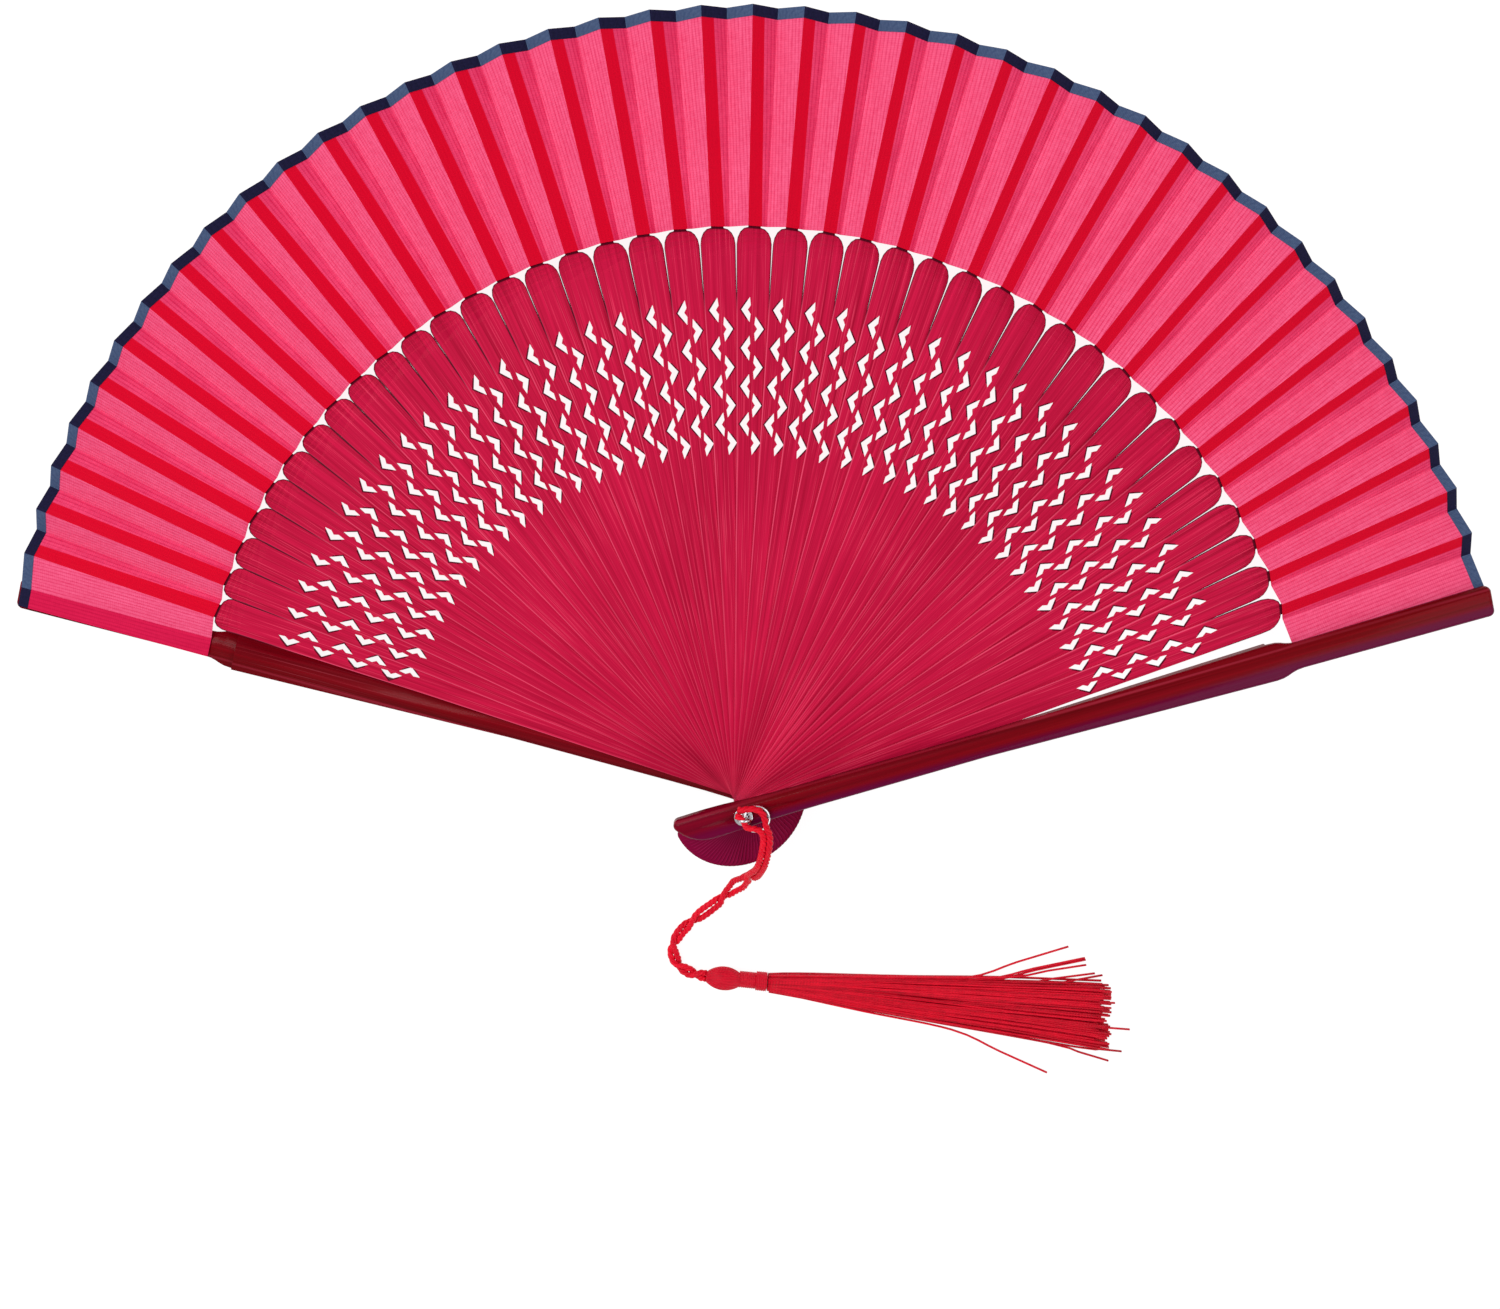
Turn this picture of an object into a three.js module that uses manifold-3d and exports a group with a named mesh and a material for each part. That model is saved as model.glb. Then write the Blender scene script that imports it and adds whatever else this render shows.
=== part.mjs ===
// A folding hand fan, lying open: forty thin ribs and two guards stacked on one pin, a pleated leaf
// with a bound edge, and a tassel on a doubled cord that hangs from a ring in the pin's eye.
// Millimetres. +Z runs up through the stack along the pin, +Y is the middle of the open fan, and the
// origin is on the pin's axis, in the plane of the pin head's flat face and the rear guard's outer
// face.
import * as THREE from "three";
import { mergeVertices } from "three/addons/utils/BufferGeometryUtils.js";
import Module from "manifold-3d";

const wasm = await Module();
wasm.setup();

// ---- Driving dimensions ----

// Opening and stack
const ribCount = 40;
const openAngle = 146; // degrees from guard to guard if every gap were as wide as those between ribs
const rearGapExtra = 0.25; // degrees by which the gap next to the rear guard is wider than that
const frontGapExtra = 1.25; // and the gap next to the front guard
const ribThickness = 0.38;
const ribClearance = 0.1; // between neighbours in the stack
const fanRadius = 190; // pin to the bound edge of the leaf

// Ribs
const tailLength = 17.5; // from the pin to the rounded tail
const tailHalfWidth = 1.9;
const ribHalfWidthAtPin = 2.2;
const ribHalfWidthAtWaist = 3.12;
const ribHalfWidth = 4.15; // at the shoulder
const waistRadius = 86; // from the pin to where the ribs begin to widen more quickly
const slipStart = 141.3; // from the pin to where the slender upper part begins
const slipHalfWidth = 1.5;
const slipEndGap = 0.5; // from the slip's end to the binding
const shoulderLength = 3.8; // in which the rib rounds in to the slip
const twistLength = 6.3; // in which the rib turns into the slope of its pleat, up to the slip

// Cut-outs: a zigzag of chevrons along the middle of each rib
const chevronCount = 8;
const chevronOuterRadius = 122.5;
const chevronPitch = 4.5;
const chevronHeight = 5.8;
const chevronWidth = 2.25;
const chevronOuterApex = 2.75; // from the rib's centre line to the point of the outermost chevron
const chevronInnerApex = 2.5; // and of the innermost
const chevronNotch = 0.7; // depth of the inner notch's point, as a share of the width
const chevronTip = 0.9; // depth of the two tips, as a share of the width
const chevronInnerEnd = 0.18; // half the height of the notch's mouth, as a share of the height

// Leaf and its bound edge
const leafInnerGap = 0.3; // from the start of the slips to the leaf
const leafThickness = 0.25;
const leafClearance = 0.12; // over the slips and the guards
const rearFlapFold = 1.6; // from the rear guard's centre line to where the leaf lifts off it
const pleatDepth = 3.4; // at the outer edge
const bindingWidth = 2.5;
const bindingClearance = 0.1;

// Guards
const guardThickness = 3.4;
const guardTipOverhang = 0.5; // past the bound edge
const guardTail = 17.5;
const guardTailHalfWidth = 3.65;
const guardTailWidest = 9; // from the pin
const guardTailEndRadius = 1.6;
const guardTailEndAside = 1.9; // the tail's rounded end lies to one side of the centre line
const guardTailEndTurn = 235; // degrees at which the long curve of the tail meets that end
const guardWaistHalfWidth = 2.9;
const guardWaistStart = 18; // from the pin
const guardWaistEnd = 62;
const guardHalfWidth = 4.75; // at the shoulder
const guardSlimHalfWidth = 3.35; // past the shoulder
const guardTipHalfWidth = 3.9;
const guardShoulderGap = 2.3; // from the middle of the shoulder to the start of the slips
const guardShoulderLength = 7;
const guardTipCorner = 1.5;
const guardCrown = 1.3; // rounding of the outer edges
const guardReliefDepth = 1.4; // inner face cut back where the ribs turn and the leaf lies

// Pin, washer and ring
const pinRadius = 1.1;
const pinHoleClearance = 0.25;
const pinHeadOverhang = 0.8;
const pinHeadHeight = 0.8;
const pinHeadClearance = 0.1;
const washerOverhang = 1.2;
const washerThickness = 0.35;
const washerClearance = 0.05;
const eyeRadius = 1.15; // to the middle of the eye's wire
const eyeWireRadius = 0.4;
const ringRadius = 3.2; // to the middle of the ring's wire
const ringWireRadius = 0.4;
const ringTilt = 10; // degrees

// Cord and tassel
const cordRadius = 1.5;
const tasselClearance = 0.3;
const tasselAngle = -7.5; // degrees from +X
const tasselStart = { x: -9.8, y: -53 };
const tasselHeadLength = 9;
const tasselHeadRadius = 3.2;
const tasselWrapLength = 7.5;
const tasselWrapRadius = 2.6;
const tasselSkirtLength = 94;
const tasselSkirtEndHalfWidth = 10.5;
const tasselSkirtEndHeight = 3.6;
const floorClearance = 0.15; // under the cord and the tassel

// The cord's route, from the ring over the edge of the stack and down to the surface: x, y, and how
// high the cord lies, as a share of the way from the surface to the top of the stack.
const cordRoute = [
  [5.6, -4.6, 1],
  [5.4, -8.5, 0.973],
  [4.5, -14, 0.823],
  [3, -18.8, 0.568],
  [0.8, -22.8, 0.299],
  [-2.2, -27.2, 0.09],
  [-6.8, -32.2, 0.006],
  [-12.2, -36.4, 0],
  [-17, -40.8, 0],
  [-19, -45.8, 0],
  [-17.4, -50.2, 0.006],
  [-13.6, -52.4, 0.033],
  [-10.2, -52.95, 0.052],
];
const cordSteps = 22;

// How finely round shapes are drawn
const roundSides = 16;
const wireSides = 8;
const cordSides = 8;
const tasselSides = 12;
const ringSides = 24;
const shoulderSteps = 4;

// ---- Values that follow from them ----

const gapCount = ribCount + 1;
const ribPitch = ribThickness + ribClearance;
const angleStep = THREE.MathUtils.degToRad(openAngle / gapCount);
const rearAngle = THREE.MathUtils.degToRad(90 + openAngle / 2);
const bindingRadius = fanRadius - bindingWidth;
const shoulderStart = slipStart - shoulderLength;
const twistStart = slipStart - twistLength;
const slipEnd = bindingRadius - slipEndGap;
const leafInnerRadius = slipStart + leafInnerGap;
const guardTip = fanRadius + guardTipOverhang;
const guardShoulder = slipStart - guardShoulderGap;
const pinHoleRadius = pinRadius + pinHoleClearance;
const pinHeadRadius = pinRadius + pinHeadOverhang;
const washerRadius = pinRadius + washerOverhang;
const pleatSlope = pleatDepth / (fanRadius * Math.sin(angleStep / 2));
const firstRibBottom = guardThickness + ribClearance;
const lastRibTop = firstRibBottom + ribCount * ribPitch - ribClearance;
const frontGuardBottom = lastRibTop + ribClearance;
const stackTop = frontGuardBottom + guardThickness;
const slimThickness = guardThickness - guardReliefDepth;
const eyeHeight = stackTop + washerThickness + eyeRadius + 2 * eyeWireRadius;
const cordLow = floorClearance + cordRadius;
const cordHigh = stackTop + cordRadius;

// Angle of stick k from +X: 0 is the rear guard, gapCount the front guard.
function stickAngle(k) {
  const turned = rearAngle - k * angleStep;
  if (k === 0) {
    return turned + THREE.MathUtils.degToRad(rearGapExtra);
  }
  return k === gapCount ? turned - THREE.MathUtils.degToRad(frontGapExtra) : turned;
}

// Top face of rib k.
function ribTop(k) {
  return firstRibBottom + (k - 1) * ribPitch + ribThickness;
}

// ---- Solids ----

function toSolid(geometry) {
  const bare = geometry.clone();
  bare.deleteAttribute("normal");
  bare.deleteAttribute("uv");
  const merged = mergeVertices(bare, 1e-4);
  return new wasm.Manifold(
    new wasm.Mesh({
      numProp: 3,
      vertProperties: new Float32Array(merged.attributes.position.array),
      triVerts: new Uint32Array(merged.index.array),
    }),
  );
}

function toGeometry(solid) {
  const mesh = solid.getMesh();
  const geometry = new THREE.BufferGeometry();
  geometry.setAttribute("position", new THREE.BufferAttribute(mesh.vertProperties, 3));
  geometry.setIndex(new THREE.BufferAttribute(mesh.triVerts, 1));
  return geometry;
}

// A closed solid through equal rings of points. Each ring runs anticlockwise about the direction
// from the first ring to the last.
function loft(rings) {
  const sides = rings[0].length;
  const position = rings.flat().flatMap((p) => [p.x, p.y, p.z]);
  const index = [];
  for (let i = 0; i + 1 < rings.length; i++) {
    for (let j = 0; j < sides; j++) {
      const a = i * sides + j;
      const b = i * sides + ((j + 1) % sides);
      index.push(a, b, b + sides, a, b + sides, a + sides);
    }
  }
  const last = (rings.length - 1) * sides;
  for (let j = 1; j + 1 < sides; j++) {
    index.push(0, j + 1, j, last, last + j, last + j + 1);
  }
  const geometry = new THREE.BufferGeometry();
  geometry.setAttribute("position", new THREE.Float32BufferAttribute(position, 3));
  geometry.setIndex(index);
  return geometry;
}

function box(low, high) {
  const geometry = new THREE.BoxGeometry(high.x - low.x, high.y - low.y, high.z - low.z);
  geometry.translate((low.x + high.x) / 2, (low.y + high.y) / 2, (low.z + high.z) / 2);
  return toSolid(geometry);
}

function cylinder(radius, low, high) {
  const geometry = new THREE.CylinderGeometry(radius, radius, high - low, roundSides);
  geometry.rotateX(Math.PI / 2);
  geometry.translate(0, 0, (low + high) / 2);
  return toSolid(geometry);
}

// ---- Ribs: +Y along the rib, bottom face at z = 0 ----

// Cut-out i, counted from the outermost: the even ones point left and the odd ones right.
function chevron(i) {
  const side = i % 2 ? 1 : -1;
  const radius = chevronOuterRadius - i * chevronPitch;
  const apexAway = THREE.MathUtils.lerp(chevronOuterApex, chevronInnerApex, i / (chevronCount - 1));
  const apex = side * apexAway;
  const inner = side * (apexAway - chevronWidth);
  const notch = side * (apexAway - chevronNotch * chevronWidth);
  const tip = side * (apexAway - chevronTip * chevronWidth);
  const path = new THREE.Path();
  path.moveTo(apex, radius);
  path.lineTo(tip, radius + chevronHeight / 2);
  path.lineTo(inner, radius + chevronInnerEnd * chevronHeight);
  path.lineTo(notch, radius);
  path.lineTo(inner, radius - chevronInnerEnd * chevronHeight);
  path.lineTo(tip, radius - chevronHeight / 2);
  path.closePath();
  return path;
}

// Between the waist and the shoulder.
function ribHalfWidthAt(y) {
  const share = (y - waistRadius) / (shoulderStart - waistRadius);
  return THREE.MathUtils.lerp(ribHalfWidthAtWaist, ribHalfWidth, share);
}

function ribBody() {
  const shape = new THREE.Shape();
  const bodyEnd = ribHalfWidthAt(twistStart);
  shape.moveTo(bodyEnd, twistStart);
  shape.lineTo(-bodyEnd, twistStart);
  shape.lineTo(-ribHalfWidthAtWaist, waistRadius);
  shape.lineTo(-ribHalfWidthAtPin, 0);
  shape.absarc(0, tailHalfWidth - tailLength, tailHalfWidth, Math.PI, 2 * Math.PI, false);
  shape.lineTo(ribHalfWidthAtPin, 0);
  shape.lineTo(ribHalfWidthAtWaist, waistRadius);
  shape.closePath();
  const hole = new THREE.Path();
  hole.absarc(0, 0, pinHoleRadius, 0, 2 * Math.PI, true);
  shape.holes.push(hole);
  for (let i = 0; i < chevronCount; i++) {
    shape.holes.push(chevron(i));
  }
  return new THREE.ExtrudeGeometry(shape, {
    depth: ribThickness,
    bevelEnabled: false,
    curveSegments: 4,
  });
}

// The rib's upper end: the shoulder rounds in to the slip while the section turns about the centre
// line, until it has the slope of the pleat that the slip is glued to.
function ribShoulderAndSlip() {
  const stations = [{ y: twistStart, half: ribHalfWidthAt(twistStart) }];
  for (let i = 0; i <= shoulderSteps; i++) {
    const t = (i / shoulderSteps) * (Math.PI / 2);
    stations.push({
      y: shoulderStart + shoulderLength * Math.sin(t),
      half: slipHalfWidth + (ribHalfWidth - slipHalfWidth) * Math.cos(t),
    });
  }
  stations.push({ y: slipEnd, half: slipHalfWidth });
  const rings = stations.map(({ y, half }) => {
    const turned = Math.min(1, (y - twistStart) / twistLength) ** 2;
    const rise = pleatSlope * turned * half;
    return [
      new THREE.Vector3(half, y, -rise),
      new THREE.Vector3(half, y, ribThickness - rise),
      new THREE.Vector3(-half, y, ribThickness + rise),
      new THREE.Vector3(-half, y, rise),
    ].reverse();
  });
  return loft(rings);
}

function ribGeometry() {
  return toGeometry(toSolid(ribBody()).add(toSolid(ribShoulderAndSlip())));
}

// ---- Guards: +Y along the guard, inner face at z = 0, crowned outer face above ----

// The tail's rounded end lies to the right.
function guardOutline() {
  const shape = new THREE.Shape();
  const shoulderLow = guardShoulder - guardShoulderLength / 2;
  const shoulderHigh = guardShoulder + guardShoulderLength / 2;
  const turn = THREE.MathUtils.degToRad(guardTailEndTurn);
  const endY = guardTailEndRadius - guardTail;
  const meetX = guardTailEndAside + guardTailEndRadius * Math.cos(turn);
  const meetY = endY + guardTailEndRadius * Math.sin(turn);
  const curveY = meetY + (meetX + guardTailHalfWidth) / Math.tan(turn);
  const cornerY = guardTip - guardTipCorner;
  const cornerX = guardTipHalfWidth - guardTipCorner;
  shape.moveTo(-guardTailHalfWidth, -guardTailWidest);
  shape.quadraticCurveTo(-guardTailHalfWidth, curveY, meetX, meetY);
  shape.absarc(guardTailEndAside, endY, guardTailEndRadius, turn, 2 * Math.PI, false);
  shape.lineTo(guardTailHalfWidth, -guardTailWidest);
  shape.bezierCurveTo(
    guardTailHalfWidth,
    0,
    guardWaistHalfWidth,
    0,
    guardWaistHalfWidth,
    guardWaistStart,
  );
  shape.lineTo(guardWaistHalfWidth, guardWaistEnd);
  shape.lineTo(guardHalfWidth, shoulderLow);
  shape.bezierCurveTo(
    guardHalfWidth,
    guardShoulder,
    guardSlimHalfWidth,
    guardShoulder,
    guardSlimHalfWidth,
    shoulderHigh,
  );
  shape.lineTo(guardTipHalfWidth, cornerY);
  shape.absarc(cornerX, cornerY, guardTipCorner, 0, Math.PI / 2, false);
  shape.absarc(-cornerX, cornerY, guardTipCorner, Math.PI / 2, Math.PI, false);
  shape.lineTo(-guardSlimHalfWidth, shoulderHigh);
  shape.bezierCurveTo(
    -guardSlimHalfWidth,
    guardShoulder,
    -guardHalfWidth,
    guardShoulder,
    -guardHalfWidth,
    shoulderLow,
  );
  shape.lineTo(-guardWaistHalfWidth, guardWaistEnd);
  shape.lineTo(-guardWaistHalfWidth, guardWaistStart);
  shape.bezierCurveTo(
    -guardWaistHalfWidth,
    0,
    -guardTailHalfWidth,
    0,
    -guardTailHalfWidth,
    -guardTailWidest,
  );
  return shape;
}

function guardSolid() {
  const blank = new THREE.ExtrudeGeometry(guardOutline(), {
    depth: guardThickness - guardCrown,
    bevelEnabled: true,
    bevelThickness: guardCrown,
    bevelSize: guardCrown,
    bevelOffset: -guardCrown,
    bevelSegments: 3,
    curveSegments: 5,
  });
  const reach = fanRadius + guardTail;
  const below = box(
    new THREE.Vector3(-reach, -reach, -guardThickness),
    new THREE.Vector3(reach, reach, 0),
  );
  const relief = box(
    new THREE.Vector3(-reach, twistStart - ribClearance, -guardThickness),
    new THREE.Vector3(reach, reach, guardReliefDepth),
  );
  const hole = cylinder(pinHoleRadius, -guardThickness, 2 * guardThickness);
  return toSolid(blank).subtract(below).subtract(relief).subtract(hole);
}

function frontGuardGeometry() {
  return toGeometry(guardSolid().mirror([1, 0, 0]));
}

// The rear guard also has a counterbore, in which the pin's head lies flush.
function rearGuardGeometry() {
  const counterboreDepth = pinHeadHeight + pinHeadClearance;
  const counterbore = cylinder(
    pinHeadRadius + pinHeadClearance,
    guardThickness - counterboreDepth,
    2 * guardThickness,
  );
  const geometry = toGeometry(guardSolid().subtract(counterbore));
  geometry.rotateY(Math.PI);
  geometry.translate(0, 0, guardThickness);
  return geometry;
}

// ---- Leaf ----

// A point of stick k's frame in the fan's frame: distance out from the pin, distance to the left
// of the stick's centre line, and height.
function stickPoint(k, out, left, z) {
  const angle = stickAngle(k);
  return new THREE.Vector3(
    out * Math.cos(angle) - left * Math.sin(angle),
    out * Math.sin(angle) + left * Math.cos(angle),
    z,
  );
}

// The fold lines from the rear guard to the front guard, each as a function of the distance out.
function foldLines() {
  const ridge = (k) => ribTop(k) + pleatSlope * slipHalfWidth + leafClearance;
  const rearFlap = slimThickness + leafClearance;
  const frontFlap = stackTop - slimThickness - leafClearance - leafThickness;
  const lines = [
    (r) => stickPoint(0, r, guardSlimHalfWidth, rearFlap),
    (r) => stickPoint(0, r, -rearFlapFold, rearFlap),
  ];
  for (let k = 1; k <= ribCount; k++) {
    lines.push((r) => stickPoint(k, r, slipHalfWidth, ridge(k)));
    lines.push((r) => stickPoint(k + 0.5, r, slipHalfWidth, ridge(k) - (pleatDepth * r) / fanRadius));
  }
  lines.push((r) => stickPoint(gapCount, r, guardSlimHalfWidth - guardCrown, frontFlap));
  lines.push((r) => stickPoint(gapCount, r, guardCrown - guardSlimHalfWidth, frontFlap));
  return lines;
}

function pleatedBand(inner, outer) {
  const up = new THREE.Vector3(0, 0, leafThickness);
  const rings = foldLines().map((line) => {
    const near = line(inner);
    const far = line(outer);
    return [near, far, far.clone().add(up), near.clone().add(up)];
  });
  return loft(rings);
}

// ---- Pin, washer and ring ----

function pinGeometry() {
  const profile = [
    [0, 0],
    [pinHeadRadius, 0],
    [pinHeadRadius, pinHeadHeight],
    [pinRadius, pinHeadHeight],
    [pinRadius, eyeHeight - eyeRadius],
    [0, eyeHeight - eyeRadius],
  ].map(([radius, z]) => new THREE.Vector2(radius, z));
  const shank = new THREE.LatheGeometry(profile, roundSides);
  shank.rotateX(Math.PI / 2);
  const eye = new THREE.TorusGeometry(eyeRadius, eyeWireRadius, wireSides, roundSides);
  eye.rotateX(Math.PI / 2);
  eye.translate(0, 0, eyeHeight);
  return toGeometry(toSolid(shank).add(toSolid(eye)));
}

function washerGeometry() {
  const shape = new THREE.Shape();
  shape.absarc(0, 0, washerRadius, 0, 2 * Math.PI, false);
  const hole = new THREE.Path();
  hole.absarc(0, 0, pinHoleRadius, 0, 2 * Math.PI, true);
  shape.holes.push(hole);
  const geometry = new THREE.ExtrudeGeometry(shape, {
    depth: washerThickness - washerClearance,
    bevelEnabled: false,
    curveSegments: roundSides / 2,
  });
  geometry.translate(0, 0, stackTop + washerClearance);
  return geometry;
}

// ---- Cord and tassel ----

function cordGeometry() {
  const section = new THREE.Shape();
  section.absarc(0, 0, cordRadius, 0, 2 * Math.PI, false);
  const route = cordRoute.map(([x, y, share]) => {
    return new THREE.Vector3(x, y, THREE.MathUtils.lerp(cordLow, cordHigh, share));
  });
  return new THREE.ExtrudeGeometry(section, {
    steps: cordSteps,
    curveSegments: cordSides / 2,
    bevelEnabled: false,
    extrudePath: new THREE.CatmullRomCurve3(route),
  });
}

// The tassel is built along +X from the cord's end, with its lowest side on z = 0. Its head is a
// barrel: the middle part of a full sine arch, made fuller by a power under 1.
function tasselHeadGeometry() {
  const archStart = 0.15;
  const archEnd = 0.87;
  const fullness = 0.7;
  const steps = 7;
  const profile = [new THREE.Vector2(0, 0)];
  for (let i = 0; i <= steps; i++) {
    const t = THREE.MathUtils.lerp(archStart, archEnd, i / steps);
    const radius = tasselHeadRadius * Math.sin(Math.PI * t) ** fullness;
    profile.push(new THREE.Vector2(radius, (i / steps) * tasselHeadLength));
  }
  profile.push(new THREE.Vector2(0, tasselHeadLength));
  const geometry = new THREE.LatheGeometry(profile, tasselSides);
  geometry.rotateZ(-Math.PI / 2);
  geometry.translate(0, 0, tasselHeadRadius);
  return geometry;
}

function tasselWrapGeometry() {
  const geometry = new THREE.CylinderGeometry(
    tasselWrapRadius,
    tasselWrapRadius,
    tasselWrapLength,
    tasselSides,
  );
  geometry.rotateZ(-Math.PI / 2);
  geometry.translate(tasselWrapLength / 2, 0, tasselWrapRadius);
  return geometry;
}

function tasselSkirtGeometry() {
  const stations = 5;
  const rings = [];
  for (let i = 0; i < stations; i++) {
    const t = i / (stations - 1);
    const half = THREE.MathUtils.lerp(tasselWrapRadius, tasselSkirtEndHalfWidth, t);
    const height = THREE.MathUtils.lerp(2 * tasselWrapRadius, tasselSkirtEndHeight, Math.sqrt(t));
    const ring = [];
    for (let j = 0; j < tasselSides; j++) {
      const a = (j / tasselSides) * 2 * Math.PI;
      ring.push(
        new THREE.Vector3(
          t * tasselSkirtLength,
          half * Math.cos(a),
          (height / 2) * (1 + Math.sin(a)),
        ),
      );
    }
    rings.push(ring);
  }
  return loft(rings);
}

// ---- Materials ----

function material(name, color, roughness, metalness) {
  return new THREE.MeshStandardMaterial({ name, color, roughness, metalness });
}

const dyedBamboo = material("dyed_bamboo", 0xb90f3c, 0.5, 0);
const lacqueredGuard = material("lacquered_guard", 0x6a0012, 0.2, 0);
const leafSilk = material("leaf_silk", 0xff4b73, 0.75, 0);
const bindingCloth = material("binding_cloth", 0x1c2448, 0.7, 0);
const silveredSteel = material("silvered_steel", 0xc8c8cc, 0.25, 1);
const rayonCord = material("rayon_cord", 0xe61424, 0.6, 0);

// ---- Assembly ----

const fan = new THREE.Group();

function addPiece(parent, name, geometry, finish) {
  const mesh = new THREE.Mesh(geometry, finish);
  mesh.name = name;
  parent.add(mesh);
  return mesh;
}

// Turns a stick built along +Y to the angle of stick k.
function placeStick(mesh, k, z) {
  mesh.rotation.z = stickAngle(k) - Math.PI / 2;
  mesh.position.z = z;
}

function addSticks() {
  placeStick(addPiece(fan, "rear_guard", rearGuardGeometry(), lacqueredGuard), 0, 0);
  const rib = ribGeometry();
  for (let k = 1; k <= ribCount; k++) {
    const mesh = addPiece(fan, "rib_" + String(k).padStart(2, "0"), rib, dyedBamboo);
    placeStick(mesh, k, ribTop(k) - ribThickness);
  }
  const front = addPiece(fan, "front_guard", frontGuardGeometry(), lacqueredGuard);
  placeStick(front, gapCount, frontGuardBottom);
}

function addLeaf() {
  const leafOuter = bindingRadius - bindingClearance;
  addPiece(fan, "leaf", pleatedBand(leafInnerRadius, leafOuter), leafSilk);
  addPiece(fan, "edge_binding", pleatedBand(bindingRadius, fanRadius), bindingCloth);
}

function addPinAndRing() {
  addPiece(fan, "pivot_pin", pinGeometry(), silveredSteel);
  addPiece(fan, "pin_washer", washerGeometry(), silveredSteel);
  const hanging = new THREE.Group();
  hanging.position.z = eyeHeight;
  hanging.rotation.y = THREE.MathUtils.degToRad(ringTilt);
  const torus = new THREE.TorusGeometry(ringRadius, ringWireRadius, wireSides, ringSides);
  const ring = addPiece(hanging, "tassel_ring", torus, silveredSteel);
  ring.position.x = ringRadius;
  fan.add(hanging);
}

function addCordAndTassel() {
  addPiece(fan, "tassel_cord", cordGeometry(), rayonCord);
  const tassel = new THREE.Group();
  tassel.position.set(tasselStart.x, tasselStart.y, floorClearance);
  tassel.rotation.z = THREE.MathUtils.degToRad(tasselAngle);
  addPiece(tassel, "tassel_head", tasselHeadGeometry(), rayonCord);
  const wrap = addPiece(tassel, "tassel_wrap", tasselWrapGeometry(), rayonCord);
  wrap.position.x = tasselHeadLength + tasselClearance;
  const skirt = addPiece(tassel, "tassel_skirt", tasselSkirtGeometry(), rayonCord);
  skirt.position.x = wrap.position.x + tasselWrapLength + tasselClearance;
  fan.add(tassel);
}

addSticks();
addLeaf();
addPinAndRing();
addCordAndTassel();

export default fan;
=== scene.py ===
# A folding hand fan that lies open on a pale floor: forty pierced ribs and two lacquered guards on
# one pin, a pleated silk leaf with a dark bound edge, and a tassel on a doubled cord and a ring.
# Metres. +Z runs up along the pin, +Y is the middle of the open fan, and the origin is at the pin.
import math
import random
import bmesh
import bpy
from mathutils import Matrix, Vector


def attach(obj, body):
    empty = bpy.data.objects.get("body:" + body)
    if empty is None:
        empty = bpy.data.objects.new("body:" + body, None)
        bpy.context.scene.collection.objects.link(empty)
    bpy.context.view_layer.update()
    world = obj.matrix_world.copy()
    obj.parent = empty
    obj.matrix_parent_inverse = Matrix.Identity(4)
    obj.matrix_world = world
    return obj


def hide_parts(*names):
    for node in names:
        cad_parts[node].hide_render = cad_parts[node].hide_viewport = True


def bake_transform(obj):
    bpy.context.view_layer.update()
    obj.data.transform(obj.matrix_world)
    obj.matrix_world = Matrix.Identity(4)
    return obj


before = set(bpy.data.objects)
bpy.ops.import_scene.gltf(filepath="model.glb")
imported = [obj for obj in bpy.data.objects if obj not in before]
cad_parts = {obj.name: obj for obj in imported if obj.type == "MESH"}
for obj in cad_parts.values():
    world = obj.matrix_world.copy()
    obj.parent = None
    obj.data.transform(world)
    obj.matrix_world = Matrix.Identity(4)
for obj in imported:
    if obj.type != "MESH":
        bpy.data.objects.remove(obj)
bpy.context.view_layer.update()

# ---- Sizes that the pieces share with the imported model, in metres ----

MM = 0.001
UP = Vector((0, 0, 1))
QUARTER_TURN = math.pi / 2

RIBS = 40
OPEN_ANGLE = math.radians(146)
GAPS = RIBS + 1
STEP = OPEN_ANGLE / GAPS
REAR_ANGLE = math.pi / 2 + OPEN_ANGLE / 2
REAR_GAP_EXTRA = math.radians(0.25)
FRONT_GAP_EXTRA = math.radians(1.25)

RIB_THICKNESS = 0.38 * MM
RIB_CLEARANCE = 0.1 * MM
RIB_PITCH = RIB_THICKNESS + RIB_CLEARANCE
GUARD_THICKNESS = 3.4 * MM
GUARD_SLIM_THICKNESS = 2.0 * MM
GUARD_SLIM_HALF_WIDTH = 3.35 * MM
GUARD_CROWN = 1.3 * MM
REAR_FLAP_FOLD = 1.6 * MM
SLIP_HALF_WIDTH = 1.5 * MM
RIB_PIN_HALF_WIDTH = 2.2 * MM
RIB_WAIST_HALF_WIDTH = 3.12 * MM
RIB_HALF_WIDTH = 4.15 * MM
WAIST_RADIUS = 86 * MM
SHOULDER_START = 137.5 * MM
SHOULDER_LENGTH = 3.8 * MM

CHEVRON_OUTER = 122.5 * MM
CHEVRON_PITCH = 4.5 * MM
CHEVRON_COUNT = 8
CHEVRON_OUTER_APEX = 2.75 * MM
CHEVRON_INNER_APEX = 2.5 * MM
CHEVRON_WIDTH = 2.25 * MM
CHEVRON_HEIGHT = 5.8 * MM
CHEVRON_TIP = 0.9

FAN_RADIUS = 190 * MM
BINDING_WIDTH = 2.5 * MM
BINDING_THICKNESS = 0.09 * MM
BINDING_FOLD = 0.6 * MM
LEAF_INNER = 141.6 * MM
LEAF_THICKNESS = 0.25 * MM
LEAF_CLEARANCE = 0.12 * MM
PLEAT_DEPTH = 3.4 * MM
PLEAT_SLOPE = PLEAT_DEPTH / (FAN_RADIUS * math.sin(STEP / 2))
# How far past its second fold line a pleat's right-hand stick would begin to carry it; add_pleat
# works out a point from it that nothing uses.
FOLD_START = 0.1 * MM

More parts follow.
